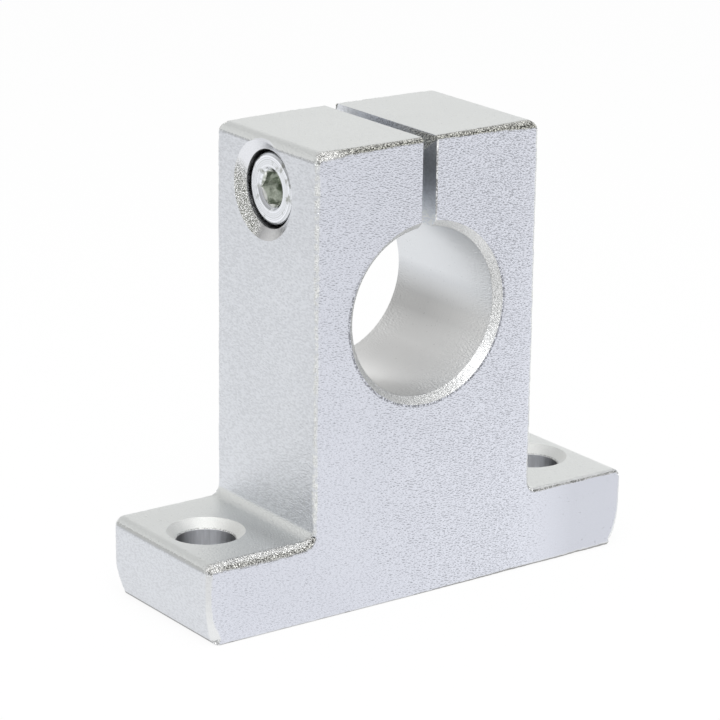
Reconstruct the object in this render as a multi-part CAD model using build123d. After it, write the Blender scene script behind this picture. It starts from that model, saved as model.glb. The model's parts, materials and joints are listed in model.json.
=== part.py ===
from build123d import *
import os

# Shaft support block for a 16 mm linear shaft, in millimetres.
# X runs across the two flanges, Y along the shaft, Z up from the base.
# The origin is the centre of the base, and the clamp screw goes in from the -X side.

# Shaft seat
shaft_diameter = 16.0
shaft_height = 27.5
bore_chamfer = 0.7

# Block
block_depth = 16.0
side_wall = 4.5
flange_height = 7.8
column_corner_radius = 1.0
flange_corner_radius = 0.9
inner_corner_radius = 1.0
edge_break = 0.3

# Curved flange ends, which lean in towards the base
flange_end_straight = 3.8
foot_inset = 0.9
foot_corner_radius = 0.6

# Mounting holes, one through each flange
mount_hole_diameter = 5.5
mount_hole_from_column = 6.5
mount_hole_from_end = 5.0
mount_hole_top_chamfer = 0.9
mount_hole_base_chamfer = 0.3

# Clamp: a sawn slit above the bore, and the screw that draws the two ears together
slit_width = 1.5
slit_mouth_break = 0.12
screw_above_bore = 3.5
screw_below_top = 5.0
screw_towards_back = 0.5

# Socket head clamp screw
screw_diameter = 4.0
screw_length = 16.0
screw_end_chamfer = 0.5
under_head_radius = 0.2
head_diameter = 6.8
head_height = 4.0
head_rim_radius = 0.4
socket_width = 3.0
socket_depth = 2.2
socket_mouth_diameter = 4.0
socket_mouth_depth = 0.45
socket_turn = 25.0
drill_point_depth = 0.6

# Room between the screw and the block
head_recess = 0.85
head_clearance = 0.25
counterbore_chamfer_width = 1.0
counterbore_chamfer_depth = 0.75
shank_clearance = 0.25
thread_play = 0.05
thread_mouth_chamfer = 0.35

# Sizes that follow from those above
column_width = shaft_diameter + 2 * side_wall
mount_spacing = column_width + 2 * mount_hole_from_column
block_width = mount_spacing + 2 * mount_hole_from_end
screw_height = shaft_height + shaft_diameter / 2 + screw_above_bore
block_height = screw_height + screw_below_top
counterbore_diameter = head_diameter + 2 * head_clearance
counterbore_depth = head_recess + head_height
head_seat_x = -column_width / 2 + counterbore_depth

# Cutters start this far outside the face that they enter.
overrun = 1.0

# Corners of the section are found within this distance.
near = 0.001


def outline_face():
    """The extruded section: a tall column on a low foot, seen along the shaft."""
    half_width = block_width / 2
    half_column = column_width / 2
    foot_x = half_width - foot_inset
    with BuildSketch(Plane.XZ) as section:
        with BuildLine():
            Line((0, 0), (foot_x, 0))
            curve_top = (half_width, flange_height - flange_end_straight)
            TangentArc(curve_top, (foot_x, 0), tangent=(0, -1))
            Polyline(
                curve_top,
                (half_width, flange_height),
                (half_column, flange_height),
                (half_column, block_height),
                (0, block_height),
            )
            mirror(about=Plane.YZ)
        make_face()
        round_corners(section, foot_x, 0, foot_corner_radius)
        round_corners(section, half_width, flange_height, flange_corner_radius)
        round_corners(section, half_column, flange_height, inner_corner_radius)
        round_corners(section, half_column, block_height, column_corner_radius)
    return section.sketch


def round_corners(section, x, height, radius):
    """Round the corner of the section at x and that height, and its mirror image."""
    places = [Vector(x, height), Vector(-x, height)]

    def misses(vertex):
        return min((vertex.center() - place).length for place in places)

    fillet([vertex for vertex in section.vertices() if misses(vertex) < near], radius)


def extruded_body():
    """The cut length of extrusion, with the sawn edges of both ends broken."""
    body = extrude(outline_face(), block_depth / 2, both=True)
    ends = body.faces().filter_by(Axis.Y)
    return chamfer(ends.edges(), edge_break)


def drilled_hole(radius, length, near_chamfer, far_chamfer=0.0):
    """A cutter from z = 0 down to -length, opened by a cone at one mouth or at both."""
    cutter = Pos(0, 0, -length / 2) * Cylinder(radius, length + 2 * overrun)
    cutter += Pos(0, 0, -near_chamfer) * mouth_cone(radius, near_chamfer, near_chamfer)
    if far_chamfer > 0:
        far_mouth = mouth_cone(radius, far_chamfer, far_chamfer)
        cutter += Pos(0, 0, far_chamfer - length) * Rot(180, 0, 0) * far_mouth
    return cutter


def mouth_cone(radius, width, depth):
    """A cone that widens upwards from radius at z = 0 by width in each depth, past the face."""
    height = depth + overrun
    wide = radius + width * height / depth
    return Cone(radius, wide, height, align=(Align.CENTER, Align.CENTER, Align.MIN))


def shaft_bore():
    """The shaft seat, right through along Y and chamfered at both faces."""
    cutter = drilled_hole(shaft_diameter / 2, block_depth, bore_chamfer, bore_chamfer)
    return Pos(0, -block_depth / 2, shaft_height) * Rot(90, 0, 0) * cutter


def mounting_holes():
    """The two vertical bolt holes through the flanges."""
    cutter = drilled_hole(
        mount_hole_diameter / 2, flange_height, mount_hole_top_chamfer, mount_hole_base_chamfer
    )
    places = GridLocations(mount_spacing, 0, 2, 1)
    return [Pos(0, 0, flange_height) * place * cutter for place in places]


def clamp_slit():
    """The sawn slit from the bore up through the top of the column, with its end edges broken."""
    wall_x = slit_width / 2
    wall_y = block_depth / 2 - slit_mouth_break
    flare = slit_mouth_break + overrun
    with BuildSketch() as section:
        with BuildLine():
            Polyline(
                (0, wall_y + flare),
                (wall_x + flare, wall_y + flare),
                (wall_x, wall_y),
                (wall_x, -wall_y),
                (wall_x + flare, -wall_y - flare),
                (0, -wall_y - flare),
            )
            mirror(about=Plane.YZ)
        make_face()
    height = block_height - shaft_height + overrun
    return Pos(0, 0, shaft_height) * extrude(section.sketch, height)


def clamp_hole():
    """The stepped hole for the screw, as a cutter along +X from the -X side of the column."""
    radius = counterbore_diameter / 2
    low = (Align.CENTER, Align.CENTER, Align.MIN)
    counterbore = Pos(0, 0, -overrun) * Cylinder(radius, counterbore_depth + overrun, align=low)
    mouth = mouth_cone(radius, counterbore_chamfer_width, counterbore_chamfer_depth)
    mouth = Pos(0, 0, counterbore_chamfer_depth) * Rot(180, 0, 0) * mouth
    clearance = Cylinder(screw_diameter / 2 + shank_clearance, column_width / 2, align=low)
    tapped = drilled_hole(screw_diameter / 2 + thread_play, column_width / 2, thread_mouth_chamfer)
    tapped = Pos(0, 0, column_width) * tapped
    stepped = counterbore + mouth + clearance + tapped
    return screw_axis(-column_width / 2) * stepped


def screw_axis(x):
    """The clamp screw's own place: its Z axis along +X, starting at x."""
    return Pos(x, screw_towards_back, screw_height) * Rot(0, 90, 0)


def support_block():
    """The clamp block, one piece of extruded aluminium."""
    block = extruded_body() - shaft_bore()
    for hole in mounting_holes():
        block -= hole
    block -= clamp_hole()
    block -= clamp_slit()
    block.label = "support_block"
    return block


def screw_blank():
    """The turned screw about its own axis: the head seats at z = 0 and the shank points to +Z."""
    head_radius = head_diameter / 2
    shank_radius = screw_diameter / 2
    with BuildSketch(Plane.XZ) as half_section:
        with BuildLine():
            Polyline(
                (0, -head_height),
                (head_radius, -head_height),
                (head_radius, 0),
                (shank_radius, 0),
                (shank_radius, screw_length - screw_end_chamfer),
                (shank_radius - screw_end_chamfer, screw_length),
                (0, screw_length),
                (0, -head_height),
            )
        make_face()
        corners = half_section.vertices()
        rim = corners.sort_by_distance(Vertex(head_radius, -head_height))[0]
        fillet(rim, head_rim_radius)
        corners = half_section.vertices()
        throat = corners.sort_by_distance(Vertex(shank_radius, 0))[0]
        fillet(throat, under_head_radius)
    return revolve(half_section.sketch, Axis.Z)


def hex_socket():
    """The key socket, as a cutter that opens towards -Z at z = 0."""
    low = (Align.CENTER, Align.CENTER, Align.MIN)
    from_flat = socket_width / 2
    hexagon = RegularPolygon(from_flat, 6, major_radius=False)
    socket = Pos(0, 0, -overrun) * extrude(hexagon, socket_depth + overrun)
    drill_point = Pos(0, 0, socket_depth) * Cone(from_flat, 0, drill_point_depth, align=low)
    mouth = mouth_cone(from_flat, socket_mouth_diameter / 2 - from_flat, socket_mouth_depth)
    mouth = Pos(0, 0, socket_mouth_depth) * Rot(180, 0, 0) * mouth
    return Rot(0, 0, socket_turn) * (socket + drill_point + mouth)


def clamp_screw():
    """The socket head cap screw, seated on the counterbore's floor."""
    screw = screw_blank() - Pos(0, 0, -head_height) * hex_socket()
    screw = screw_axis(head_seat_x) * screw
    screw.label = "clamp_screw"
    return screw


os.makedirs("parts", exist_ok=True)
export_step(support_block(), "parts/support_block.step")
export_step(clamp_screw(), "parts/clamp_screw.step")
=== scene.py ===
import json
import math

import bmesh
import bpy
from mathutils import Matrix, Vector, kdtree, noise


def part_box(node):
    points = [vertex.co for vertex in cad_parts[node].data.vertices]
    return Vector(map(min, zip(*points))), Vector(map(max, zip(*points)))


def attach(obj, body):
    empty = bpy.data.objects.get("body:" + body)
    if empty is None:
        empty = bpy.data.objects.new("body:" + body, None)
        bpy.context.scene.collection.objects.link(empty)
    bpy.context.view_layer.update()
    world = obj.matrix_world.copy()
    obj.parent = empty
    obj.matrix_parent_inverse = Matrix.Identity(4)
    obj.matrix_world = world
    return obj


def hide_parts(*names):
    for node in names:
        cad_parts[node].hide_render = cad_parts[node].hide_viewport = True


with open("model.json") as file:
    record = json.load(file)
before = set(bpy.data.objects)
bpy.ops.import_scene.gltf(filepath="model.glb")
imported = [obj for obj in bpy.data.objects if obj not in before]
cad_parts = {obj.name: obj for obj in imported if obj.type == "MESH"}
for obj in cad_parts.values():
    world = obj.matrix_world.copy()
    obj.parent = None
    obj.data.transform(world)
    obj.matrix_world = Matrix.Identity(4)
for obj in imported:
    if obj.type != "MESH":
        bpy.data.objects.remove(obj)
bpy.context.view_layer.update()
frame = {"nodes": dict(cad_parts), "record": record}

MM = 0.001

# Places closer than this count as the same
TINY = 0.002 * MM

# Camera, found by fitting the photograph's edges
FOCAL_PIXELS = 3160.1
PICTURE_PIXELS = 720
SENSOR_MM = 36.0
CAMERA_AZIMUTH = 35.965
CAMERA_ELEVATION = 17.412
CAMERA_ROLL = 0.721
CAMERA_DISTANCE = 296.75 * MM
AIM_SIDEWAYS = -1.437 * MM
AIM_HEIGHT = 20.899 * MM
NEAREST_SEEN = 10 * MM

# Room: a white backdrop low down behind the object, and a dimmer front. Its edges are soft, and are given as
# parts of a direction of length 1: how far it points away from the camera, and how far up.
ROOM_LEVEL = 0.50
BACKDROP_LEVEL = 1.05
BACKDROP_FROM = -0.2
BACKDROP_FULL = 0.5
BACKDROP_TOP = 0.62
BACKDROP_TOP_FULL = 0.38

# Softboxes: name, turn from the camera and elevation in degrees, size in metres, power in watts
SOFTBOX_DISTANCE = 0.6
SOFTBOXES = (
    ("overhead", 0, 80, 0.5, 1.7),
    ("key", -6, 48, 0.35, 1.2),
)

# Floor
FLOOR_REACH = 3.0
FLOOR_GAP = 0.01 * MM
FLOOR_OWN_WHITE = 0.92
PAPER_COLOUR = (0.92, 0.92, 0.92, 1)
WHITE = (1, 1, 1, 1)

# Sizes of the part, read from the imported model
MOUNTS = {mount["name"]: mount for mount in frame["record"]["mounts"]}
BLOCK_LOW, BLOCK_HIGH = (Vector(corner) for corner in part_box("support_block"))
SCREW_LOW, SCREW_HIGH = (Vector(corner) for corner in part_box("clamp_screw"))
BLOCK_POINTS = [vertex.co for vertex in frame["nodes"]["support_block"].data.vertices]
BORE_CENTRE = Vector(MOUNTS["shaft_bore"]["pos_m"])
BORE_RADIUS = MOUNTS["shaft_bore"]["dims"]["r_mm"] * MM
MOUNT_HOLE_X = MOUNTS["mounting_holes"]["dims"]["spacing_x_mm"] / 2 * MM
MOUNT_HOLE_RADIUS = MOUNTS["mounting_holes"]["dims"]["hole_r_mm"] * MM
SCREW_SEAT = Vector(frame["record"]["behaviour"]["joints"][0]["pos_m"])
HEAD_RADIUS = (SCREW_HIGH.y - SCREW_LOW.y) / 2
FLANGE_TOP = max(point.z for point in BLOCK_POINTS if point.x > MOUNT_HOLE_X)
COLUMN_HALF_WIDTH = max(point.x for point in BLOCK_POINTS if point.z > BORE_CENTRE.z)
SLIT_HALF_WIDTH = min(abs(point.x) for point in BLOCK_POINTS if point.z > BLOCK_HIGH.z - TINY)

# Screw: socket, knurled head and M4 thread
ROUND = 192
CURVE_STEPS = 8
SOCKET_HALF_WIDTH = 1.5 * MM
SOCKET_DEPTH = 2.2 * MM
SOCKET_POINT_DEPTH = 2.8 * MM
SOCKET_FLOOR_PART = 0.98
SOCKET_MOUTH_RADIUS = 2.0 * MM
SOCKET_MOUTH_SLOPE = 0.9
SOCKET_TURN = math.radians(-5)
HEAD_RIM_RADIUS = 0.4 * MM
KNURL_TEETH = 48
KNURL_DEPTH = 0.10 * MM
KNURL_MARGIN = 0.25 * MM
NECK_RADIUS = 0.2 * MM
THREAD_RADIUS = 2.0 * MM
THREAD_DEPTH = 0.43 * MM
THREAD_PITCH = 0.7 * MM
THREAD_TIP_CHAMFER = 0.5 * MM
THREAD_LEAD_IN = 0.35 * MM
TAPPED_ROOT_RADIUS = 2.1 * MM
TAPPED_CREST_RADIUS = 1.64 * MM
ROOT_INSIDE_WALL = 0.005 * MM

# Where one turn of a thread changes radius, as parts of the pitch: two corners of the crest, two of the root
SCREW_TURN = (0.0, 0.125, 0.4375, 0.6875)
TAPPED_TURN = (0.0, 0.25, 0.5625, 0.6875)
SPARE_TURNS = 2

# Worn edges of the block's two sawn ends: how wide they are where the outline faces up, sideways and down
CAD_EDGE_BREAK = 0.3 * MM
WIDE_FOOT_WEAR = 0.86 * MM
NARROW_FOOT_WEAR = 0.34 * MM
TOP_WEAR = 0.40 * MM
UPRIGHT_WEAR = 0.36 * MM
BASE_WEAR = 0.16 * MM
FAR_BASE_WEAR = 0.30 * MM

# Wider wear near some places, and how far it reaches from them
TOE_WEAR = 0.75 * MM
TOE_REACH = 1.5 * MM
CORNER_WEAR = 0.50 * MM
CORNER_REACH = 4.0 * MM
SHOULDER_WEAR = 0.55 * MM
SHOULDER_REACH = 0.9 * MM

# How the wear wavers along an edge, slowly and quickly: share of its width, and length of a wave
SLOW_WAVER = 0.22
SLOW_WAVE = 2.6 * MM
QUICK_WAVER = 0.16
QUICK_WAVE = 0.38 * MM

# How a worn edge bulges, as a share of its width, and how lumpy and coarse it is
WEAR_BULGE = 0.16
LUMP_HEIGHT = 0.035 * MM
LUMP_SIZE = 0.26 * MM
LEAST_LUMPS = 0.25
LUMPS_FULL_AT = 0.3
WORN_FULL_AT = 0.25
LEAST_COARSE = 0.1
COARSE_PER_UPWARD = 1.4
NARROW_COARSE = 0.4
NARROW_BELOW = 1.4 * NARROW_FOOT_WEAR
FOOT_ZONE = 12.5 * MM

# Fine mesh along those edges
BAND = 1.5 * MM
CELL = 0.165 * MM
SECTION_DEPTH = 1.1 * MM
SAMPLE_STEP = 0.06 * MM
WELD = 0.0001 * MM
FLAT = math.radians(0.2)
SHARP = math.radians(32)

# A face slopes where the normal's part along an axis is between the first two values, softened by the third
SLOPING = (0.45, 0.92, 0.02)

# How far the masks' soft ends reach
SOFT = 0.02 * MM
SOFTER = 0.05 * MM

# Reach of the block's cut places, outside the radius of the hole or the head
BORE_CONE_REACH = 0.9 * MM
SCREW_CONE_REACH = 1.3 * MM
MOUNT_CONE_REACH = 1.0 * MM
COUNTERBORE_REACH = 0.28 * MM

# The counterbore's cone is torn towards the lower rear. Here are that direction in Y and Z, where along it
# and to the rear of the screw's axis the tearing starts and is full, and the least that every cone has.
TORN_TOWARDS_Y = 0.85
TORN_TOWARDS_Z = -0.53
TORN_FROM = 1.8 * MM
TORN_FULL = 3.4 * MM
TORN_REAR_FROM = 0.3 * MM
TORN_REAR_FULL = 1.8 * MM
LEAST_TORN = 0.08

# Grain: the size of each pattern, and how it is stretched along X, Y and Z
PEEL_SIZE = 0.125 * MM
PEEL_STRETCH = (0.45, 1.0, 1.0)
PEEL_SLANT = math.radians(-20)
BLASTED_SIZE = 0.135 * MM
BLASTED_STRETCH = (1.0, 0.40, 1.0)
LUMPY_SIZE = 0.15 * MM
GROOVE_SIZE = 0.14 * MM
GROOVE_STRETCH = (0.02, 1.0, 0.02)
FINE_SIZE = 0.10 * MM
SPECK_SIZE = 0.24 * MM
DRAWN_SIZE = 0.25 * MM
DRAWN_STRETCH = (1.0, 1.0, 0.12)
PATCH_SIZE = 0.5 * MM
TONE_SIZE = 6 * MM

# Bump: the height of full relief, and the share of it in each place
RELIEF = 0.26 * MM
TOP_RELIEF = 0.14
GROOVE_RELIEF = 0.05
SLIT_RELIEF = 0.05
TORN_RELIEF = 0.7
HOLE_RELIEF = 0.04

# Colours of the aluminium, most of them as a pair that a pattern runs between
SIDE_COLOURS = (0.715, 0.735, 0.772), (0.755, 0.775, 0.812)
# The faces that look up are painted lighter than the sides: painted light from above.
LIT_TOP_COLOURS = (0.755, 0.77, 0.76), (0.795, 0.81, 0.80)
END_COLOURS = (0.74, 0.76, 0.835), (0.78, 0.80, 0.875)
# The bore's lower part is painted lighter than its upper part: painted light.
LIT_BORE_LOWER_COLOUR = (0.90, 0.90, 0.89)
BORE_UPPER_COLOUR = (0.765, 0.785, 0.81)
DULL_TOP_LINE = (0.05, 0.05, 0.045), (0.70, 0.70, 0.64)
DULL_FOOT_LINE = (0.17, 0.17, 0.16), (0.86, 0.86, 0.82)
# The bright and soft lines of the worn edges are wear together with a painted highlight.
BRIGHT_LINE = (0.72, 0.72, 0.70), (0.99, 0.99, 0.98)
SOFT_LINE = (0.68, 0.69, 0.68), (0.93, 0.94, 0.93)
NARROW_LINE = (0.08, 0.08, 0.07), (0.9, 0.9, 0.9)
TOE_LINE = (0.77, 0.78, 0.79), (0.85, 0.86, 0.865)
SLIT_EDGE_COLOURS = (0.25, 0.25, 0.25), (0.85, 0.86, 0.88)
# Painted highlight at the top of the slit's broken edge.
SLIT_HIGHLIGHT_COLOUR = (0.97, 0.97, 0.97)
SCREW_CONE_COLOURS = (0.58, 0.58, 0.585), (0.83, 0.845, 0.885)
BORE_CONE_COLOURS = (0.89, 0.90, 0.91), (0.98, 0.99, 1.0)
MOUNT_CONE_COLOUR = (0.78, 0.785, 0.77)
BORE_PIT_COLOUR = (0.46, 0.47, 0.46)
SCREW_PIT_COLOUR = (0.24, 0.25, 0.22)
TORN_BRIGHT_COLOUR = (0.92, 0.92, 0.91)
# The counterbore's wall is painted dark: painted shade in the gap round the head.
COUNTERBORE_SHADE_COLOURS = (0.22, 0.22, 0.22), (0.42, 0.43, 0.43)
HOLE_COLOURS = (0.74, 0.75, 0.77), (0.83, 0.84, 0.87)
# Painted shadow: the base's rim that faces down is darkened, as the contact shadow.
BASE_RIM_SHADOW_COLOUR = (0.22, 0.215, 0.21)
BASE_RIM_SHADOW_SHARE = 0.8

# How deep the worn line of the top's corners lies in Y, near enough
CORNER_DEPTH = 7.5 * MM

# Tints of the aluminium, and where some of them are: a strip of the foot beside the column, darkened as
# painted shade, the burr outside the bore's cone, and the ragged rim of the mounting holes
# The rounded edges' tint is painted shade, standing in for the darker reflection on their turned faces.
FILLET_SHADE_TINT = 0.70
COLUMN_SHADE_ON_FOOT = 0.84
INNER_FOOT_FROM = -16 * MM
INNER_FOOT_TO = -13.8 * MM
INNER_FOOT_SOFT = 0.8 * MM
BURR_TINT = 0.40
BURR_FROM = 0.62 * MM
BURR_TO = 0.93 * MM
MOUNT_RIM_TINT = 0.45
MOUNT_RIM_FULL = 0.06 * MM
MOUNT_RIM_REACH = 0.16 * MM

# Roughness of the aluminium
SIDE_ROUGHNESS = 0.43
END_ROUGHNESS = 0.24
WORN_ROUGHNESS = 0.30
HOLE_ROUGHNESS = 0.50
MOUNT_CONE_ROUGHNESS = 0.70
BORE_CONE_ROUGHNESS = 0.44
BORE_ROUGHNESS = 0.36

# Plated steel
RING_SIZE = 0.16 * MM
MARK_SIZE = 0.30 * MM
FACE_MARKS = 0.6
OTHER_MARKS = 0.5
STEEL_RELIEF = 0.035 * MM
RING_COLOURS = (0.62, 0.64, 0.66), (0.90, 0.92, 0.97)
# Dark blotches on the steel: painted reflection.
DARK_REFLECTION_SIZE = 1.1 * MM
DARK_REFLECTION_COLOUR = (0.30, 0.31, 0.28)
DARK_REFLECTION_SHARE = 0.85
# The socket is painted darker, in patches: painted shade inside the recess.
SOCKET_PATCH_SIZE = 0.8 * MM
SOCKET_COLOURS = (0.28, 0.31, 0.26), (0.96, 0.98, 0.94)
SOCKET_MASK_PART = 1.16
SOCKET_FROM = 0.2 * MM
SOCKET_FULL = 0.3 * MM
STEEL_ROUGHNESS = 0.16
SOCKET_ROUGHNESS = 0.30


def aim(azimuth, elevation, roll):
    """Right, up and backward axes of something that looks at the object from that direction, in degrees."""
    a, e, r = (math.radians(v) for v in (azimuth, elevation, roll))
    back = Vector((-math.sin(a) * math.cos(e), -math.cos(a) * math.cos(e), math.sin(e)))
    right = (-back).cross(Vector((0, 0, 1))).normalized()
    up = right.cross(-back)
    turned_right = right * math.cos(r) + up * math.sin(r)
    turned_up = up * math.cos(r) - right * math.sin(r)
    return turned_right, turned_up, back


def stand_at(thing, place, right, up, back):
    """Put a camera or a lamp at a place, looking against its backward axis."""
    turn = Matrix((right, up, back)).transposed()
    thing.matrix_world = Matrix.Translation(place) @ turn.to_4x4()


def add_camera():
    """The photograph's camera."""
    level_right, _, back = aim(CAMERA_AZIMUTH, CAMERA_ELEVATION, 0)
    right, up, _ = aim(CAMERA_AZIMUTH, CAMERA_ELEVATION, CAMERA_ROLL)
    data = bpy.data.cameras.new("camera")
    data.sensor_width = SENSOR_MM
    data.lens = FOCAL_PIXELS * SENSOR_MM / PICTURE_PIXELS
    data.clip_start = NEAREST_SEEN
    camera = bpy.data.objects.new("camera", data)
    bpy.context.collection.objects.link(camera)
    place = Vector((0, 0, AIM_HEIGHT)) + level_right * AIM_SIDEWAYS + back * CAMERA_DISTANCE
    stand_at(camera, place, right, up, back)
    bpy.context.scene.camera = camera


def add_softbox(name, turn, elevation, size, power):
    """A square area light that faces the middle of the object."""
    right, up, back = aim(CAMERA_AZIMUTH + turn, elevation, 0)
    data = bpy.data.lights.new(name, "AREA")
    data.shape = "SQUARE"
    data.size = size
    data.energy = power
    lamp = bpy.data.objects.new(name, data)
    bpy.context.collection.objects.link(lamp)
    stand_at(lamp, Vector((0, 0, AIM_HEIGHT)) + back * SOFTBOX_DISTANCE, right, up, back)


class Nodes:
    """A node tree with short ways to add and join nodes."""

    def __init__(self, owner):
        owner.use_nodes = True
        self.tree = owner.node_tree
        self.tree.nodes.clear()

    def add(self, kind, inputs=None, **settings):
        """A node of that kind: inputs are values or outputs by socket name or number."""
        node = self.tree.nodes.new(kind)
        for key, value in settings.items():
            setattr(node, key, value)
        for key, value in (inputs or {}).items():
            socket = node.inputs[key]
            if isinstance(value, bpy.types.NodeSocket):
                self.tree.links.new(value, socket)
            else:
                socket.default_value = value
        return node

    def math(self, operation, a, b=0.0, clamp=False):
        return self.add("ShaderNodeMath", {0: a, 1: b}, operation=operation, use_clamp=clamp).outputs[0]

    def product(self, first, *others):
        for other in others:
            first = self.math("MULTIPLY", first, other)
        return first

    def largest(self, first, *others):
        for other in others:
            first = self.math("MAXIMUM", first, other)
        return first

    def unsigned(self, value):
        return self.math("ABSOLUTE", value)

    def split(self, vector):
        """The three parts of a vector."""
        return self.add("ShaderNodeSeparateXYZ", {0: vector}).outputs[:]

    def stretch(self, vector, scale):
        values = {0: vector, 1: scale}
        return self.add("ShaderNodeVectorMath", values, operation="MULTIPLY").outputs[0]

    def noise(self, vector, size, detail):
        """Noise from 0 to 1, with features of about that size in metres."""
        values = {"Vector": vector, "Scale": 1 / size, "Detail": detail, "Roughness": 0.5}
        return self.add("ShaderNodeTexNoise", values).outputs[0]

    def spread(self, value, low, high, out_low=0.0, out_high=1.0):
        """value mapped from low..high to out_low..out_high, held at the ends."""
        values = {0: value, 1: low, 2: high, 3: out_low, 4: out_high}
        return self.add("ShaderNodeMapRange", values, clamp=True).outputs[0]

    def over(self, value, low, high, out_low=0.0, out_high=1.0):
        """The same with low and high in millimetres, for a tint or a relief that changes along an axis."""
        return self.spread(value, low * MM, high * MM, out_low, out_high)

    def within(self, value, low, high, soft):
        """1 where value is from low to high and 0 elsewhere, with soft ends."""
        past_low = self.spread(value, low - soft, low + soft)
        before_high = self.spread(value, high + soft, high - soft)
        return self.product(past_low, before_high)

    def distance(self, a, b, centre_a, centre_b):
        """How far the point a, b is from a centre, in the plane of those two coordinates."""
        across = self.math("SUBTRACT", a, centre_a)
        along = self.math("SUBTRACT", b, centre_b)
        squares = self.math("ADD", self.product(across, across), self.product(along, along))
        return self.math("SQRT", squares)

    def blend(self, factor, a, b):
        """a where factor is 0 and b where it is 1."""
        return self.add("ShaderNodeMix", {0: factor, 2: a, 3: b}).outputs[0]

    def blend_colour(self, factor, a, b):
        """The same for colours, which are sockets or three values."""
        a, b = (c if isinstance(c, bpy.types.NodeSocket) else (*c, 1) for c in (a, b))
        values = {0: factor, 6: a, 7: b}
        return self.add("ShaderNodeMix", values, data_type="RGBA").outputs[2]

    def tint(self, colour, factor):
        """A colour made lighter or darker by a factor."""
        return self.add("ShaderNodeVectorMath", {0: colour, 3: factor}, operation="SCALE").outputs[0]

    def tint_where(self, mask, colour, factor):
        """A colour made lighter or darker by a factor where the mask is 1."""
        return self.tint(colour, self.blend(mask, 1.0, factor))

    def finish_metal(self, colour, roughness, height, relief):
        """A metal surface with that bump height, as the tree's output."""
        values = {"Height": height, "Distance": relief, "Strength": 1.0}
        normal = self.add("ShaderNodeBump", values).outputs[0]
        values = {"Base Color": colour, "Metallic": 1.0, "Roughness": roughness, "Normal": normal}
        surface = self.add("ShaderNodeBsdfPrincipled", values)
        self.add("ShaderNodeOutputMaterial", {0: surface.outputs[0]})


def light_world():
    """The room: white to the camera, and for light and reflections a backdrop behind and a dimmer front."""
    world = bpy.data.worlds.new("room")
    bpy.context.scene.world = world
    n = Nodes(world)
    x, y, z = n.split(n.add("ShaderNodeTexCoord").outputs["Generated"])
    back = aim(CAMERA_AZIMUTH, 0, 0)[2]
    depth = n.math("ADD", n.product(x, -back.x), n.product(y, -back.y))
    behind = n.spread(depth, BACKDROP_FROM, BACKDROP_FULL)
    low = n.spread(z, BACKDROP_TOP, BACKDROP_TOP_FULL)
    level = n.blend(n.product(behind, low), ROOM_LEVEL, BACKDROP_LEVEL)
    seen = n.add("ShaderNodeLightPath").outputs["Is Camera Ray"]
    room = n.add("ShaderNodeBackground", {0: WHITE, 1: level})
    white = n.add("ShaderNodeBackground", {0: WHITE, 1: 1.0})
    both = n.add("ShaderNodeMixShader", {0: seen, 1: room.outputs[0], 2: white.outputs[0]})
    n.add("ShaderNodeOutputWorld", {0: both.outputs[0]})


def add_floor():
    """The plain white floor: mostly its own white to the camera, so that the object's shadow stays faint."""
    far = FLOOR_REACH
    mesh = bpy.data.meshes.new("floor")
    corners = [(-far, -far, 0), (far, -far, 0), (far, far, 0), (-far, far, 0)]
    mesh.from_pydata(corners, [], [(0, 1, 2, 3)])
    floor = bpy.data.objects.new("floor", mesh)
    bpy.context.collection.objects.link(floor)
    floor.location.z = -FLOOR_GAP
    paint = bpy.data.materials.new("floor_paper")
    n = Nodes(paint)
    path = n.add("ShaderNodeLightPath").outputs
    seen = n.math("ADD", path["Is Camera Ray"], path["Is Glossy Ray"], clamp=True)
    share = n.product(seen, FLOOR_OWN_WHITE)
    paper = n.add("ShaderNodeBsdfDiffuse", {0: PAPER_COLOUR})
    white = n.add("ShaderNodeEmission", {0: WHITE, 1: 1.0})
    both = n.add("ShaderNodeMixShader", {0: share, 1: paper.outputs[0], 2: white.outputs[0]})
    n.add("ShaderNodeOutputMaterial", {0: both.outputs[0]})
    mesh.materials.append(paint)


def block_shape():
    """The block's CAD mesh, welded, with each flat face as few polygons."""
    shape = bmesh.new()
    shape.from_mesh(frame["nodes"]["support_block"].data)
    bmesh.ops.remove_doubles(shape, verts=shape.verts, dist=WELD)
    bmesh.ops.dissolve_limit(shape, angle_limit=FLAT, verts=shape.verts, edges=shape.edges)
    return shape


def slice_faces(shape, axis, places, wanted):
    """Cut the wanted faces by planes square to one axis, from the lowest place to the highest."""
    normal = Vector([float(i == axis) for i in range(3)])
    faces = {f for f in shape.faces if wanted(f)}
    for place in sorted(places):
        faces = {f for f in faces if max(v.co[axis] for v in f.verts) > place + TINY}
        crossed = [f for f in faces if min(v.co[axis] for v in f.verts) < place - TINY]
        if not crossed:
            continue
        edges = {e for f in crossed for e in f.edges}
        verts = {v for f in crossed for v in f.verts}
        geometry = crossed + list(edges) + list(verts)
        cut = bmesh.ops.bisect_plane(
            shape, geom=geometry, dist=TINY / 2, plane_co=normal * place, plane_no=normal
        )
        faces.update(g for g in cut["geom"] if isinstance(g, bmesh.types.BMFace))


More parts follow.
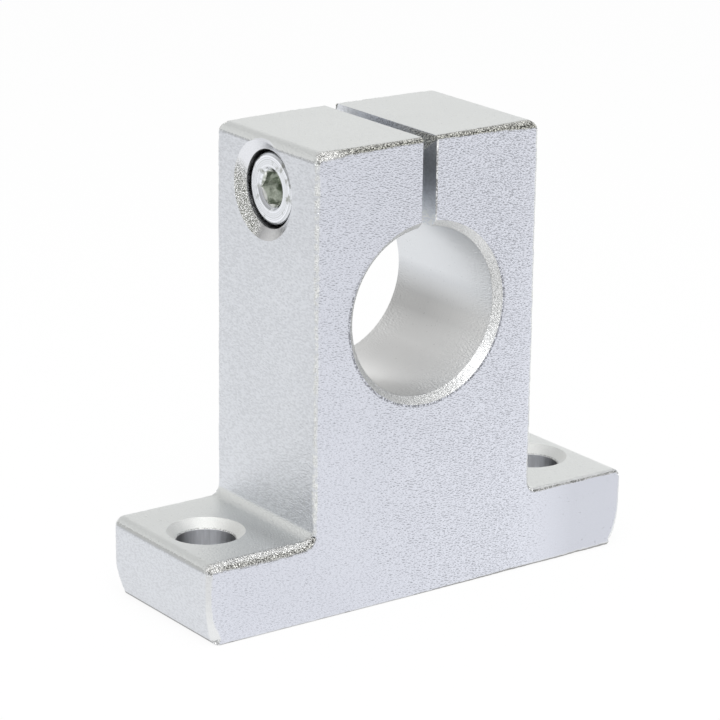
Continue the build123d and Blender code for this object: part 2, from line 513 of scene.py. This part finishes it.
class Outline:
    """The block's outline seen along the shaft, as closely spaced points with outward normals."""

    def __init__(self, shape):
        section = shape.copy()
        whole = section.verts[:] + section.edges[:] + section.faces[:]
        level = Vector((0, BLOCK_HIGH.y - SECTION_DEPTH, 0))
        cut = bmesh.ops.bisect_plane(section, geom=whole, plane_co=level, plane_no=(0, 1, 0))["geom_cut"]
        self.points = []
        for edge in cut:
            if isinstance(edge, bmesh.types.BMEdge) and self.is_outer(edge):
                self.add_points(edge)
        section.free()
        self.tree = kdtree.KDTree(len(self.points))
        for i, (place, _) in enumerate(self.points):
            self.tree.insert(place, i)
        self.tree.balance()

    @staticmethod
    def is_outer(edge):
        """Whether a cut edge is on the outer outline, and not on the shaft bore or the slit."""
        middle = (edge.verts[0].co + edge.verts[1].co) / 2
        from_bore = Vector((middle.x, 0, middle.z - BORE_CENTRE.z)).length
        in_slit = abs(middle.x) < SLIT_HALF_WIDTH + TINY and middle.z < BLOCK_HIGH.z - TINY
        return from_bore > BORE_RADIUS + TINY and not (in_slit and middle.z > BORE_CENTRE.z)

    def add_points(self, edge):
        start, end = (Vector((v.co.x, 0, v.co.z)) for v in edge.verts)
        normal = edge.link_faces[0].normal
        normal = Vector((normal.x, 0, normal.z)).normalized()
        steps = math.ceil((end - start).length / SAMPLE_STEP)
        for i in range(steps + 1):
            self.points.append((start.lerp(end, i / steps), normal))

    def nearest(self, place):
        """The nearest outline point, its outward normal, and how far inside the outline the place is."""
        flat = Vector((place.x, 0, place.z))
        _, index, _ = self.tree.find(flat)
        point, normal = self.points[index]
        return point, normal, max(0.0, (point - flat).dot(normal))


def wear_width(point, normal, end):
    """How wide the worn edge is at a point of the outline. The other end (1) is worn the other way round."""
    side = point.x * -end
    if abs(point.x) > COLUMN_HALF_WIDTH + TINY:
        up = WIDE_FOOT_WEAR if side < 0 else NARROW_FOOT_WEAR
    else:
        from_corner = max(0.0, COLUMN_HALF_WIDTH - abs(point.x))
        up = TOP_WEAR + CORNER_WEAR * math.exp(-from_corner / CORNER_REACH)
    upright = UPRIGHT_WEAR + TOE_WEAR * math.exp(-point.z / TOE_REACH)
    if side < 0 and abs(point.x) > MOUNT_HOLE_X:
        upright += SHOULDER_WEAR * math.exp(-abs(point.z - FLANGE_TOP) / SHOULDER_REACH)
    down = BASE_WEAR + FAR_BASE_WEAR * max(0.0, side) / BLOCK_HIGH.x
    facing_up = max(0.0, normal.z) ** 2
    facing_down = max(0.0, -normal.z) ** 2
    width = facing_up * up + facing_down * down + normal.x ** 2 * upright
    return width * (1 + SLOW_WAVER * noise.noise(Vector((point.x, end, point.z)) / SLOW_WAVE))


def wear_ends(shape, outline):
    """Turn the even break of both ends' edges into an uneven, slightly rounded and lumpy one.

    Three values stay on the points: how worn they are, how coarsely, and how far they lie from
    the sawn end's edge of the wear (0) towards the side's edge (1)."""
    worn = shape.verts.layers.float.new("worn")
    coarse = shape.verts.layers.float.new("coarse")
    sideways = shape.verts.layers.float.new("sideways")
    widest = WIDE_FOOT_WEAR + CORNER_WEAR
    for vert in shape.verts:
        depth = BLOCK_HIGH.y - abs(vert.co.y)
        if depth > widest:
            continue
        point, normal, inside = outline.nearest(vert.co)
        if inside + depth > widest:
            continue
        end = -1 if vert.co.y < 0 else 1
        width = wear_width(point, normal, end)
        width *= 1 + QUICK_WAVER * noise.noise(vert.co / QUICK_WAVE)
        rough = min(1.0, LEAST_COARSE + max(0.0, normal.z) * COARSE_PER_UPWARD)
        if width < NARROW_BELOW and point.z < FOOT_ZONE:
            rough *= NARROW_COARSE
        new_inside, new_depth = inside, depth
        if inside + depth < CAD_EDGE_BREAK + TINY:
            new_inside = max(0.0, inside - depth)
            new_depth = max(0.0, depth - inside)
        across = new_inside - new_depth
        missing = width - abs(across)
        if missing > 0:
            bulge = WEAR_BULGE * width * (1 - (across / width) ** 2)
            inner_part = min(1.0, missing / (LUMPS_FULL_AT * width))
            lumps = LUMP_HEIGHT * noise.noise(vert.co / LUMP_SIZE) * inner_part
            push = missing / 2 - bulge + lumps * (LEAST_LUMPS + (1 - LEAST_LUMPS) * rough)
            new_inside = max(0.0, new_inside + push)
            new_depth = max(0.0, new_depth + push)
            vert[worn] = min(1.0, missing / (WORN_FULL_AT * width))
            vert[coarse] = rough
            vert[sideways] = 0.5 - 0.5 * across / width
        vert.co -= normal * (new_inside - inside)
        vert.co.y -= end * (new_depth - depth)


def worn_block():
    """The block's own mesh, with a fine band along the edges of both ends, and wear there."""
    shape = block_shape()
    outline = Outline(shape)
    band_depth = BLOCK_HIGH.y - BAND
    x_bands = [COLUMN_HALF_WIDTH - BAND, COLUMN_HALF_WIDTH, BLOCK_HIGH.x - BAND]
    z_bands = [BAND, FLANGE_TOP - BAND, FLANGE_TOP + BAND, BLOCK_HIGH.z - BAND]

    def on_end(face):
        return abs(face.normal.y) > 0.9 and abs(face.verts[0].co.y) > band_depth

    def in_slit(face):
        return abs(face.normal.x) > 0.9 and abs(face.verts[0].co.x) < SLIT_HALF_WIDTH + TINY

    def on_side(face):
        middle = face.calc_center_bounds()
        return abs(face.normal.y) < 0.01 and outline.nearest(middle)[2] < TINY * 5 and not in_slit(face)

    def in_band(face):
        far = min(abs(v.co.y) for v in face.verts) > band_depth - TINY
        near = min(outline.nearest(v.co)[2] for v in face.verts) < BAND * 0.9
        return far and near and not in_slit(face)

    slice_faces(shape, 0, [s * x for x in x_bands for s in (-1, 1)], on_end)
    slice_faces(shape, 2, z_bands, on_end)
    slice_faces(shape, 1, [-band_depth, band_depth], on_side)
    columns = round(2 * BLOCK_HIGH.x / CELL)
    rows = round(BLOCK_HIGH.z / CELL)
    slice_faces(shape, 0, [BLOCK_LOW.x + (i + 0.5) * CELL for i in range(columns)], in_band)
    slice_faces(shape, 2, [(i + 0.5) * CELL for i in range(rows)], in_band)
    depths = [BLOCK_HIGH.y - i * CELL for i in range(1, round(BAND / CELL))]
    slice_faces(shape, 1, [s * y for y in depths for s in (-1, 1)], in_band)
    wear_ends(shape, outline)
    return finish_mesh(shape, "block_body")


def finish_mesh(shape, name):
    """An object from a mesh, shaded smooth with its sharp edges kept."""
    bmesh.ops.recalc_face_normals(shape, faces=shape.faces)
    for face in shape.faces:
        face.smooth = True
    for edge in shape.edges:
        edge.smooth = edge.calc_face_angle(0.0) < SHARP
    mesh = bpy.data.meshes.new(name)
    shape.to_mesh(mesh)
    shape.free()
    piece = bpy.data.objects.new(name, mesh)
    bpy.context.collection.objects.link(piece)
    weighting = piece.modifiers.new("flat_faces_lead", "WEIGHTED_NORMAL")
    weighting.keep_sharp = True
    return piece


class Rings:
    """A mesh of rings about the screw's axis, each joined to the one before it."""

    def __init__(self):
        self.shape = bmesh.new()
        self.last = None

    def vertex(self, x, radius, angle):
        around = Vector((0, radius * math.cos(angle), radius * math.sin(angle)))
        return self.shape.verts.new(Vector((x, SCREW_SEAT.y, SCREW_SEAT.z)) + around)

    def ring(self, x, radius):
        """Add a ring. x and radius are values, or functions of the angle about the axis."""
        verts = []
        for i in range(ROUND):
            angle = 2 * math.pi * i / ROUND
            along = x(angle) if callable(x) else x
            out = radius(angle) if callable(radius) else radius
            verts.append(self.vertex(along, out, angle))
        if self.last:
            for i, vert in enumerate(verts):
                j = (i + 1) % ROUND
                self.shape.faces.new((self.last[i], self.last[j], verts[j], vert))
        self.last = verts

    def thread(self, start, end, profile, limit):
        """A right-hand thread from start to end, where limit brings it to the radius of the rings there.

        profile holds the corners of one turn's section: part of the pitch, and radius."""
        steps = ROUND * (math.ceil((end - start) / THREAD_PITCH) + 2 * SPARE_TURNS)
        rows = []
        for step in range(steps + 1):
            turns = step / ROUND
            row = []
            for part, radius in profile:
                x = start + (turns - SPARE_TURNS + part) * THREAD_PITCH
                x = min(max(x, start), end)
                row.append(self.vertex(x, limit(x, radius), 2 * math.pi * turns))
            rows.append(row)
        for step in range(steps):
            here, there = rows[step], rows[step + 1]
            if step + ROUND + 1 <= steps:
                here = here + rows[step + ROUND][:1]
                there = there + rows[step + ROUND + 1][:1]
            for i in range(len(here) - 1):
                self.shape.faces.new((here[i], here[i + 1], there[i + 1], there[i]))
        self.last = None

    def finish(self, name):
        bmesh.ops.remove_doubles(self.shape, verts=self.shape.verts, dist=WELD)
        return finish_mesh(self.shape, name)


def hexagon_radius(angle):
    """Distance from the axis to the socket's wall at an angle."""
    sector = math.pi / 3
    from_flat = (angle - SOCKET_TURN) % sector - sector / 2
    return SOCKET_HALF_WIDTH / math.cos(from_flat)


def knurled_radius(angle):
    tooth = (angle * KNURL_TEETH / (2 * math.pi)) % 1
    return HEAD_RADIUS - KNURL_DEPTH * abs(2 * tooth - 1)


def mouth_place(angle):
    """Where the socket's sloping mouth meets its wall, along X."""
    return SCREW_LOW.x + (SOCKET_MOUTH_RADIUS - hexagon_radius(angle)) * SOCKET_MOUTH_SLOPE


def clamp_screw():
    """The socket head cap screw, turned from the bottom of the socket outwards and on to the thread's tip."""
    rings = Rings()
    top = SCREW_LOW.x
    rings.ring(top + SOCKET_POINT_DEPTH, 0.0)
    rings.ring(top + SOCKET_DEPTH, SOCKET_HALF_WIDTH * SOCKET_FLOOR_PART)
    rings.ring(top + SOCKET_DEPTH, hexagon_radius)
    rings.ring(mouth_place, hexagon_radius)
    flat_radius = HEAD_RADIUS - HEAD_RIM_RADIUS
    for i in range(CURVE_STEPS + 1):
        rings.ring(top, SOCKET_MOUTH_RADIUS + (flat_radius - SOCKET_MOUTH_RADIUS) * i / CURVE_STEPS)
    turns = [math.pi / 2 * i / CURVE_STEPS for i in range(1, CURVE_STEPS + 1)]
    for turn in turns:
        out = flat_radius + HEAD_RIM_RADIUS * math.sin(turn)
        rings.ring(top + HEAD_RIM_RADIUS * (1 - math.cos(turn)), out)
    rings.ring(top + HEAD_RIM_RADIUS + KNURL_MARGIN, knurled_radius)
    rings.ring(SCREW_SEAT.x - KNURL_MARGIN, knurled_radius)
    rings.ring(SCREW_SEAT.x, HEAD_RADIUS - KNURL_DEPTH - KNURL_MARGIN)
    rings.ring(SCREW_SEAT.x, THREAD_RADIUS + NECK_RADIUS)
    for turn in turns:
        out = THREAD_RADIUS + NECK_RADIUS * (1 - math.sin(turn))
        rings.ring(SCREW_SEAT.x + NECK_RADIUS * (1 - math.cos(turn)), out)
    start = SCREW_SEAT.x + THREAD_LEAD_IN
    end = SCREW_HIGH.x
    rings.ring(start, THREAD_RADIUS)

    def limit(x, radius):
        lead_in = THREAD_RADIUS - (x - start)
        tip = THREAD_RADIUS - THREAD_TIP_CHAMFER + (end - x)
        return min(max(radius, lead_in), tip)

    root = THREAD_RADIUS - THREAD_DEPTH
    profile = list(zip(SCREW_TURN, (THREAD_RADIUS, THREAD_RADIUS, root, root)))
    rings.thread(start, end, profile, limit)
    rings.ring(end, THREAD_RADIUS - THREAD_TIP_CHAMFER)
    rings.ring(end, 0.0)
    return rings.finish("socket_head_screw")


def tapped_thread():
    """The thread in the far ear, past the screw's tip: ridges whose roots lie just inside the hole's wall."""
    rings = Rings()
    start = SCREW_HIGH.x + THREAD_LEAD_IN
    end = COLUMN_HALF_WIDTH - THREAD_LEAD_IN
    rings.ring(start, TAPPED_ROOT_RADIUS)
    rings.ring(end, TAPPED_ROOT_RADIUS)

    def limit(x, radius):
        return max(radius, TAPPED_ROOT_RADIUS - min(x - start, end - x))

    root = TAPPED_ROOT_RADIUS - ROOT_INSIDE_WALL
    profile = list(zip(TAPPED_TURN, (TAPPED_CREST_RADIUS, TAPPED_CREST_RADIUS, root, root)))
    rings.thread(start, end, profile, limit)
    return rings.finish("tapped_thread")


class Places:
    """Where a point of the block is, and masks of its faces, cut places and worn edges.

    A mask is 1 inside and 0 outside."""

    def __init__(self, n):
        coordinates = n.add("ShaderNodeTexCoord").outputs
        self.place = coordinates["Object"]
        self.facing = n.split(coordinates["Normal"])
        self.x, self.y, self.z = n.split(self.place)
        self.from_bore = n.distance(self.x, self.z, BORE_CENTRE.x, BORE_CENTRE.z)
        self.from_screw = n.distance(self.y, self.z, SCREW_SEAT.y, SCREW_SEAT.z)
        self.from_mount = n.distance(n.unsigned(self.x), self.y, MOUNT_HOLE_X, 0.0)
        rise = n.math("SUBTRACT", self.z, BORE_CENTRE.z)
        self.turn = n.math("ARCTAN2", rise, n.math("SUBTRACT", self.x, BORE_CENTRE.x))
        self.find_faces(n)
        self.find_cuts(n)
        self.find_wear(n)
        self.find_torn(n)

    def find_faces(self, n):
        """Sawn ends, faces that look up, the base's rim, and the slit's walls."""
        self.on_end = n.spread(n.unsigned(self.facing[1]), 0.90, 0.97)
        self.on_top = n.spread(self.facing[2], 0.06, 0.35)
        self.on_base = n.product(n.spread(self.facing[2], -0.20, -0.45), n.over(self.z, 0.50, 0.35))
        between = n.within(self.x, -SLIT_HALF_WIDTH - SOFTER, SLIT_HALF_WIDTH + SOFTER, SOFT)
        self.in_slit = n.product(between, n.spread(n.unsigned(self.facing[0]), 0.90, 0.95))

    def find_cuts(self, n):
        """The cones at the mouths, the bore, the counterbore's wall and the mounting holes."""
        slope_x, slope_y, slope_z = (n.within(n.unsigned(part), *SLOPING) for part in self.facing)
        outside = n.within(self.x, BLOCK_LOW.x, SCREW_SEAT.x, SOFT)
        near_bore = n.within(self.from_bore, BORE_RADIUS, BORE_RADIUS + BORE_CONE_REACH, SOFT)
        near_screw = n.within(self.from_screw, 0.0, HEAD_RADIUS + SCREW_CONE_REACH, SOFT)
        near_mount = n.within(self.from_mount, 0.0, MOUNT_HOLE_RADIUS + MOUNT_CONE_REACH, SOFT)
        counterbore = n.within(self.from_screw, 0.0, HEAD_RADIUS + COUNTERBORE_REACH, SOFT / 2)
        self.bore_cone = n.product(slope_y, near_bore)
        self.screw_cone = n.product(slope_x, near_screw, outside)
        self.mount_cone = n.product(slope_z, near_mount)
        self.cones = n.largest(self.bore_cone, self.mount_cone, self.screw_cone)
        self.bore = n.within(self.from_bore, 0.0, BORE_RADIUS + SOFT, SOFT / 2)
        self.counterbore = n.product(counterbore, outside)
        self.hole = n.within(self.from_mount, 0.0, MOUNT_HOLE_RADIUS + SOFT, SOFT / 2)

    def find_wear(self, n):
        """The values that wear_ends left on the points, and where the wear is coarse."""
        self.worn, self.coarse, self.sideways = (
            n.add("ShaderNodeAttribute", attribute_name=name).outputs["Fac"]
            for name in ("worn", "coarse", "sideways")
        )
        self.coarsely = n.spread(self.coarse, 0.45, 0.75)
        self.worn_coarsely = n.product(self.worn, self.coarsely)

    def find_torn(self, n):
        """How torn the cones are: at the counterbore's lower rear, and round the bore with a cleaner part."""
        leaning = n.math("SUBTRACT", n.product(self.y, TORN_TOWARDS_Y), n.product(self.z, -TORN_TOWARDS_Z))
        level = SCREW_SEAT.y * TORN_TOWARDS_Y + SCREW_SEAT.z * TORN_TOWARDS_Z
        lower_rear = n.spread(n.math("SUBTRACT", leaning, level), TORN_FROM, TORN_FULL)
        rear = n.spread(self.y, SCREW_SEAT.y + TORN_REAR_FROM, SCREW_SEAT.y + TORN_REAR_FULL)
        counterbore_tear = n.product(lower_rear, rear, self.screw_cone)
        clean = n.within(self.turn, math.radians(-58), math.radians(-24), math.radians(14))
        bore_tear = n.product(n.over(self.z, 30, 34, 0.60, 0.36), n.blend(clean, 1.0, 0.45))
        self.torn = n.largest(counterbore_tear, n.product(self.bore_cone, bore_tear), LEAST_TORN)


class Grain:
    """The patterns of the aluminium's surface, each from 0 to 1."""

    def __init__(self, n, at):
        turning = {0: at.place, 3: PEEL_SLANT}
        slanted = n.add("ShaderNodeVectorRotate", turning, rotation_type="Y_AXIS").outputs[0]
        self.peel = n.noise(n.stretch(slanted, PEEL_STRETCH), PEEL_SIZE, detail=0.0)
        self.blasted = n.noise(n.stretch(at.place, BLASTED_STRETCH), BLASTED_SIZE, detail=0.0)
        self.lumpy = n.noise(at.place, LUMPY_SIZE, detail=1.0)
        self.grooves = n.noise(n.stretch(at.place, GROOVE_STRETCH), GROOVE_SIZE, detail=2.0)
        self.fine = n.noise(at.place, FINE_SIZE, detail=1.0)
        self.speckle = n.spread(self.lumpy, 0.40, 0.60)
        higher = n.over(at.z, 12, 38, 0.36, 0.44)
        righter = n.product(n.over(at.x, -8, 8, 0.46, 1.35), n.over(at.x, 10, 15, 1.0, 0.07))
        self.end_depth = n.product(higher, righter)


def block_height(n, at, grain):
    """The bump height: deepest on the sawn ends' upper right, and lumpy where an edge is worn coarsely."""
    side_depth = n.blend(at.on_top, n.over(at.z, 12, 18, 0.10, 0.24), TOP_RELIEF)
    on_sides = n.product(grain.blasted, side_depth)
    height = n.blend(at.on_end, on_sides, n.product(grain.peel, grain.end_depth))
    near_mouth = n.over(n.unsigned(at.y), 3, 7, 0.0, 0.16)
    in_bore = n.math("ADD", n.product(grain.grooves, GROOVE_RELIEF), n.product(grain.blasted, near_mouth))
    height = n.blend(at.bore, height, in_bore)
    height = n.blend(at.in_slit, height, n.product(grain.blasted, SLIT_RELIEF))
    height = n.blend(at.worn_coarsely, height, grain.lumpy)
    height = n.blend(at.cones, height, n.product(at.torn, TORN_RELIEF, grain.fine))
    return n.blend(at.hole, height, n.product(grain.lumpy, HOLE_RELIEF))


def face_colours(n, at):
    """The sides, the faces that look up and the sawn ends, each with its own slow changes of tone. The faces
    that look up are painted lighter than the sides, as painted light from above, the ends are painted lighter
    low down and darker towards the top, and the foot's top beside the column is darkened as painted shade.
    """
    tone = n.noise(at.place, TONE_SIZE, detail=3.0)
    side = n.blend_colour(tone, *SIDE_COLOURS)
    side = n.tint(side, n.over(at.z, 30, 38, 1.0, 0.97))
    side = n.tint(side, n.over(at.x, 23.0, 23.3, 1.0, 1.04))
    top = n.blend_colour(tone, *LIT_TOP_COLOURS)
    top = n.tint(top, n.over(at.x, 12, 13, 1.0, 1.07))
    inner = n.within(at.x, INNER_FOOT_FROM, INNER_FOOT_TO, INNER_FOOT_SOFT)
    inner = n.product(inner, n.over(at.z, 9, 8), n.over(at.y, 4, -2))
    # Painted shade: the foot's top beside the column is darkened where the column shades it.
    top = n.tint_where(inner, top, COLUMN_SHADE_ON_FOOT)
    end = n.blend_colour(tone, *END_COLOURS)
    # Painted light: the sawn ends are painted lighter low down and darker towards the top.
    end = n.tint(end, n.over(at.z, 8, 34, 0.975, 0.935))
    end = n.tint(end, n.over(at.x, -6, 8, 0.97, 1.04))
    end = n.tint(end, n.over(at.x, 12, 18, 1.0, 0.84))
    colour = n.blend_colour(at.on_top, side, top)
    return n.blend_colour(at.on_end, colour, end)


def painted_fillet_shade(n, at, grain):
    """A mask of painted shade: ragged dark lines along the rounded edges, where their turned faces reflect a
    darker part of the room; thin on the top, broad on the flanges' outer edges.
    """
    ragged = n.spread(grain.lumpy, 0.3, 0.7, -0.10, 0.10)
    ragged = n.product(ragged, n.spread(at.facing[2], 0.02, 0.10))
    ragged = n.math("ADD", at.facing[2], ragged)
    thin = n.product(n.within(ragged, 0.07, 0.26, 0.05), n.over(at.z, 20, 21))
    broad = n.product(n.within(ragged, 0.07, 0.50, 0.05), n.over(at.z, 9, 8))
    broad = n.product(broad, n.over(n.unsigned(at.x), 20, 21))
    return n.product(n.largest(thin, broad), n.spread(n.unsigned(at.facing[1]), 0.10, 0.05))


def bore_painted_light(n, at):
    """The bore: painted lighter below and darker above, as painted light, and with a band of painted shade to
    the lower right that grows towards the rear.
    """
    # Painted shade: a darker band to the lower right of the bore.
    band = n.within(at.turn, math.radians(-38), math.radians(-5), math.radians(11))
    band = n.product(band, n.over(at.y, -7, 2, 0.18, 0.42))
    upper = n.within(at.turn, math.radians(-10), math.radians(190), math.radians(10))
    colour = n.blend_colour(upper, LIT_BORE_LOWER_COLOUR, BORE_UPPER_COLOUR)
    return n.tint(colour, n.math("SUBTRACT", 1.0, band))


def pit_tones(n, at, grain):
    """How much darker the pits of the ends and sides are, with a few darker specks all over."""
    deepest = n.product(n.over(at.x, -6, 8), n.over(at.z, 20, 34))
    on_ends = n.spread(grain.peel, 0.30, 0.50, n.blend(deepest, 0.86, 0.74), 1.02)
    on_ends = n.blend(n.spread(grain.end_depth, 0.03, 0.15, 0.1, 1.0), 1.0, on_ends)
    on_sides = n.blend(at.on_top, n.spread(grain.blasted, 0.30, 0.62, 0.91, 1.03), 1.0)
    pits = n.blend(at.on_end, on_sides, on_ends)
    pits = n.blend(at.bore, pits, 1.0)
    specks = n.spread(n.noise(at.place, SPECK_SIZE, detail=1.0), 0.72, 0.77, 1.0, 0.80)
    return n.product(pits, specks)


def coarse_line(n, at, grain):
    """A coarsely worn edge: dull, but bright where it is rubbed and painted with a highlight, low down, at
    corners and at outer ends.
    """
    # x times y is above zero on one half of each sawn end, and over the depth there it is x without its sign.
    corner = n.product(at.x, at.y, 1 / CORNER_DEPTH)
    corner = n.product(n.over(corner, 8.5, 11.5), n.over(at.z, 40, 42))
    outer_end = n.over(n.unsigned(at.x), 22.0, 22.9)
    # Where the worn edge is bright: wear and a painted highlight.
    polished_and_highlit = n.product(n.spread(at.sideways, 0.36, 0.52), n.over(at.z, 12, 10, 0.25, 1.0))
    polished_and_highlit = n.largest(corner, outer_end, polished_and_highlit)
    dull_top = n.blend_colour(grain.speckle, *DULL_TOP_LINE)
    dull_foot = n.blend_colour(grain.speckle, *DULL_FOOT_LINE)
    dull = n.blend_colour(n.over(at.z, 12, 10), dull_top, dull_foot)
    return n.blend_colour(polished_and_highlit, dull, n.blend_colour(grain.speckle, *BRIGHT_LINE))


def fine_line(n, at, grain):
    """A finely worn edge, partly a painted highlight: lighter and soft on the column, smooth on the foot's
    uprights, and speckled on narrow lines.
    """
    soft = n.blend_colour(grain.speckle, *SOFT_LINE)
    toe = n.blend_colour(n.over(at.z, 5, 2), *TOE_LINE)
    soft = n.blend_colour(n.over(at.z, 8, 9), toe, soft)
    narrow = n.product(n.within(at.sideways, 0.02, 0.46, 0.08), n.spread(at.coarse, 0.18, 0.30))
    return n.blend_colour(narrow, soft, n.blend_colour(grain.speckle, *NARROW_LINE))


def worn_colours(n, at, grain, colour):
    """The worn edges, partly wear and partly painted highlight, the burr round the bore's cone and the slit's
    broken right edge, with a painted highlight at its top.
    """
    line = n.blend_colour(at.coarsely, fine_line(n, at, grain), coarse_line(n, at, grain))
    patches = n.spread(n.noise(at.place, PATCH_SIZE, detail=2.0), 0.38, 0.55)
    patches = n.largest(at.coarsely, patches, n.over(at.z, 8.5, 7.5))
    colour = n.blend_colour(n.product(at.worn, patches), colour, line)
    burr = n.within(at.from_bore, BORE_RADIUS + BURR_FROM, BORE_RADIUS + BURR_TO, SOFTER)
    burr = n.product(burr, n.spread(grain.lumpy, 0.44, 0.50), n.over(at.z, 34, 30))
    colour = n.tint_where(burr, colour, BURR_TINT)
    sloping = n.product(*(n.within(n.unsigned(part), *SLOPING) for part in at.facing[:2]))
    slit_edge = n.product(sloping, n.within(at.x, 0.6 * MM, 1.1 * MM, SOFTER))
    broken = n.blend_colour(grain.speckle, *SLIT_EDGE_COLOURS)
    # Painted highlight at the top of the slit's edge.
    broken = n.blend_colour(n.over(at.z, 42.2, 43.0), broken, SLIT_HIGHLIGHT_COLOUR)
    return n.blend_colour(slit_edge, colour, broken)


def cone_colours(n, at, grain):
    """The cones at the mouths: smooth, ragged round the mounting holes, and grainy where they are torn."""
    under = n.spread(at.z, SCREW_SEAT.z - 2.6 * MM, SCREW_SEAT.z - 3.6 * MM, 1.0, 0.0)
    at_screw = n.blend_colour(under, *SCREW_CONE_COLOURS)
    at_bore = n.blend_colour(n.over(at.z, 29, 33), *BORE_CONE_COLOURS)
    smooth = n.blend_colour(at.screw_cone, at_bore, at_screw)
    smooth = n.blend_colour(at.mount_cone, smooth, MOUNT_CONE_COLOUR)
    rim = n.spread(at.from_mount, MOUNT_HOLE_RADIUS + MOUNT_RIM_REACH, MOUNT_HOLE_RADIUS + MOUNT_RIM_FULL)
    smooth = n.tint_where(n.product(rim, grain.speckle, at.mount_cone), smooth, MOUNT_RIM_TINT)
    pitted = n.blend_colour(at.screw_cone, BORE_PIT_COLOUR, SCREW_PIT_COLOUR)
    grainy = n.blend_colour(n.spread(grain.fine, 0.40, 0.58), pitted, TORN_BRIGHT_COLOUR)
    return n.blend_colour(at.torn, smooth, grainy)


def hole_colour(n, at):
    """The mounting holes' walls, with drawn streaks, and painted shade where they turn away from the view."""
    drawn = n.noise(n.stretch(at.place, DRAWN_STRETCH), DRAWN_SIZE, detail=1.0)
    colour = n.blend_colour(n.spread(drawn, 0.35, 0.65), *HOLE_COLOURS)
    # Painted shade: the walls darken where they turn away from the view.
    turned_away = n.add("ShaderNodeLayerWeight", {0: 0.5}).outputs["Facing"]
    return n.tint(colour, n.spread(turned_away, 0.10, 0.50, 1.0, 0.38))


def cut_colours(n, at, grain, colour):
    """The cones, the counterbore's wall in painted shade, the mounting holes with painted shade where they
    turn away, and the base's rim in painted shadow.
    """
    colour = n.blend_colour(at.cones, colour, cone_colours(n, at, grain))
    # Painted shade: the counterbore's wall is painted dark.
    wall = n.blend_colour(grain.speckle, *COUNTERBORE_SHADE_COLOURS)
    colour = n.blend_colour(at.counterbore, colour, wall)
    colour = n.blend_colour(at.hole, colour, hole_colour(n, at))
    # Painted shadow on the base's rim.
    return n.blend_colour(n.product(at.on_base, BASE_RIM_SHADOW_SHARE), colour, BASE_RIM_SHADOW_COLOUR)


def block_roughness(n, at):
    roughness = n.blend(at.on_end, SIDE_ROUGHNESS, END_ROUGHNESS)
    roughness = n.blend(n.largest(at.worn_coarsely, at.cones), roughness, WORN_ROUGHNESS)
    roughness = n.blend(at.hole, roughness, HOLE_ROUGHNESS)
    roughness = n.blend(at.mount_cone, roughness, MOUNT_CONE_ROUGHNESS)
    roughness = n.blend(at.bore_cone, roughness, BORE_CONE_ROUGHNESS)
    return n.blend(at.bore, roughness, BORE_ROUGHNESS)


def anodised_aluminium():
    """Shot-blasted, clear anodised aluminium: coarse on the sawn ends and fine on the extruded sides."""
    paint = bpy.data.materials.new("anodised_aluminium")
    n = Nodes(paint)
    at = Places(n)
    grain = Grain(n, at)
    colour = face_colours(n, at)
    # Painted shade along the rounded edges.
    colour = n.tint_where(painted_fillet_shade(n, at, grain), colour, FILLET_SHADE_TINT)
    colour = n.blend_colour(at.bore, colour, bore_painted_light(n, at))
    # Painted light: the slit's walls are lighter towards the bottom, where light comes in from the bore.
    colour = n.tint_where(at.in_slit, colour, n.over(at.z, 39, 36.2, 1.06, 1.36))
    colour = n.tint(colour, pit_tones(n, at, grain))
    colour = worn_colours(n, at, grain, colour)
    colour = cut_colours(n, at, grain, colour)
    n.finish_metal(colour, block_roughness(n, at), block_height(n, at, grain), RELIEF)
    return paint


def plated_steel():
    """Bright plated steel, with the rings of turning on the head, dark blotches of painted reflection, and a
    duller socket painted darker as painted shade.
    """
    paint = bpy.data.materials.new("plated_steel")
    n = Nodes(paint)
    coordinates = n.add("ShaderNodeTexCoord").outputs
    place = coordinates["Object"]
    facing = n.split(coordinates["Normal"])
    x, y, z = n.split(place)
    from_axis = n.distance(y, z, SCREW_SEAT.y, SCREW_SEAT.z)
    on_face = n.spread(facing[0], -0.90, -0.96)
    along_radius = n.add("ShaderNodeCombineXYZ", {0: from_axis}).outputs[0]
    rings = n.noise(along_radius, RING_SIZE, detail=2.0)
    marks = n.noise(place, MARK_SIZE, detail=2.0)
    turned = n.math("ADD", rings, n.product(marks, FACE_MARKS))
    height = n.blend(on_face, n.product(marks, OTHER_MARKS), turned)
    deep = n.spread(x, SCREW_LOW.x + SOCKET_FROM, SCREW_LOW.x + SOCKET_FULL)
    in_socket = n.product(n.within(from_axis, 0.0, SOCKET_HALF_WIDTH * SOCKET_MASK_PART, SOFT / 2), deep)
    colour = n.blend_colour(n.spread(rings, 0.38, 0.62), *RING_COLOURS)
    # Painted reflection: dark blotches over the steel.
    dark_reflections = n.spread(n.noise(place, DARK_REFLECTION_SIZE, detail=3.0), 0.56, 0.66)
    colour = n.blend_colour(n.product(dark_reflections, DARK_REFLECTION_SHARE), colour, DARK_REFLECTION_COLOUR)
    # Painted shade: the socket is darker, in patches.
    socket_patches = n.spread(n.noise(place, SOCKET_PATCH_SIZE, detail=3.0), 0.40, 0.60)
    colour = n.blend_colour(in_socket, colour, n.blend_colour(socket_patches, *SOCKET_COLOURS))
    n.finish_metal(colour, n.blend(in_socket, STEEL_ROUGHNESS, SOCKET_ROUGHNESS), height, STEEL_RELIEF)
    return paint


def dress(piece, paint):
    piece.data.materials.clear()
    piece.data.materials.append(paint)


bpy.context.scene.view_settings.view_transform = "Standard"
add_camera()
light_world()
add_floor()
for softbox in SOFTBOXES:
    add_softbox(*softbox)
aluminium = anodised_aluminium()
steel = plated_steel()
block = worn_block()
dress(block, aluminium)
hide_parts("support_block")
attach(block, "block")
screw = clamp_screw()
dress(screw, steel)
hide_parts("clamp_screw")
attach(screw, "screw")
thread = tapped_thread()
dress(thread, aluminium)
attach(thread, "block")
